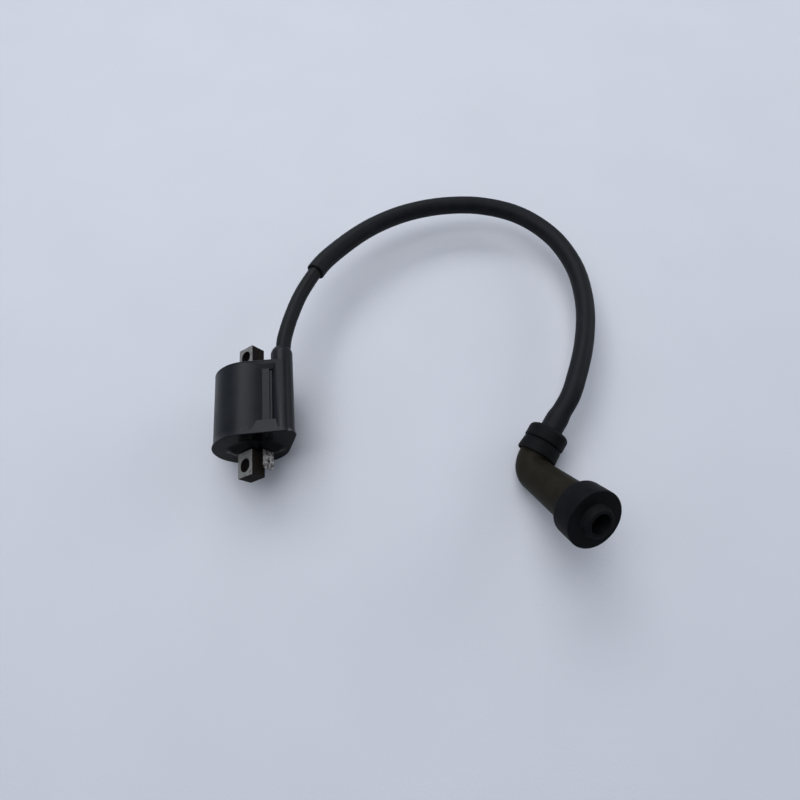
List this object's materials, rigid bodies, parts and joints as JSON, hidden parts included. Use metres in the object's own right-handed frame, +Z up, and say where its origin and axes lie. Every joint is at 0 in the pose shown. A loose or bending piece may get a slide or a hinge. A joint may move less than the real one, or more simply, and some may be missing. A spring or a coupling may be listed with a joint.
{
  "type": "ignition coil",
  "caption": "Ignition coil: teardrop plastic case on a laminated steel bar with a bolt hole at each end, sleeved high-tension lead and elbow spark-plug cap with rubber seal and boot.",
  "frame": {"origin": "on the surface that the coil lies on, under the middle of the box round the case, core bar and blade", "axes": "+Y along the core bar towards the end where the lead leaves, +Z up, +X towards the lead tower and the cap"},
  "size_m": [0.195, 0.2057, 0.0475],
  "materials": {
    "case_nylon": "moulded satin black",
    "potting_resin": "cast black resin",
    "core_steel": "stamped plates, sheared sides",
    "tinned_blade": "tin plated",
    "bobbin_nylon": "moulded natural",
    "copper_wire": "enamelled copper winding",
    "contact_brass": "turned",
    "plated_steel": "zinc plated",
    "lead_rubber": "extruded satin black",
    "sleeve_rubber": "extruded matt black",
    "moulded_rubber": "moulded matt black",
    "cap_phenolic": "moulded brown phenolic",
    "resistor_ceramic": "fired ceramic"
  },
  "bodies": {
    "coil": {"coil_housing": "case_nylon", "potting_fill": "potting_resin", "laminated_core": "core_steel", "blade_terminal": "tinned_blade", "primary_bobbin": "bobbin_nylon", "primary_winding": "copper_wire", "secondary_bobbin": "bobbin_nylon", "secondary_winding_1": "copper_wire", "secondary_winding_2": "copper_wire", "secondary_winding_3": "copper_wire", "secondary_winding_4": "copper_wire", "secondary_winding_5": "copper_wire", "earth_plate": "contact_brass", "high_tension_link": "contact_brass", "high_tension_pin": "contact_brass", "ht_lead": "lead_rubber", "lead_sleeve": "sleeve_rubber"},
    "plug_cap": {"cap_body": "cap_phenolic", "cable_seal": "moulded_rubber", "plug_boot": "moulded_rubber", "terminal_screw": "plated_steel", "contact_spring": "plated_steel", "resistor": "resistor_ceramic", "plug_socket": "contact_brass", "retaining_clip": "plated_steel"}
  },
  "joints": [
    {"name": "cap_turn", "type": "hinge", "parent": "coil", "child": "plug_cap", "pos_m": [0.1234, -0.0393, 0.0069], "axis": [0.6128, 0.7461, 0.2605], "range_deg": [-180, 180]}
  ]
}
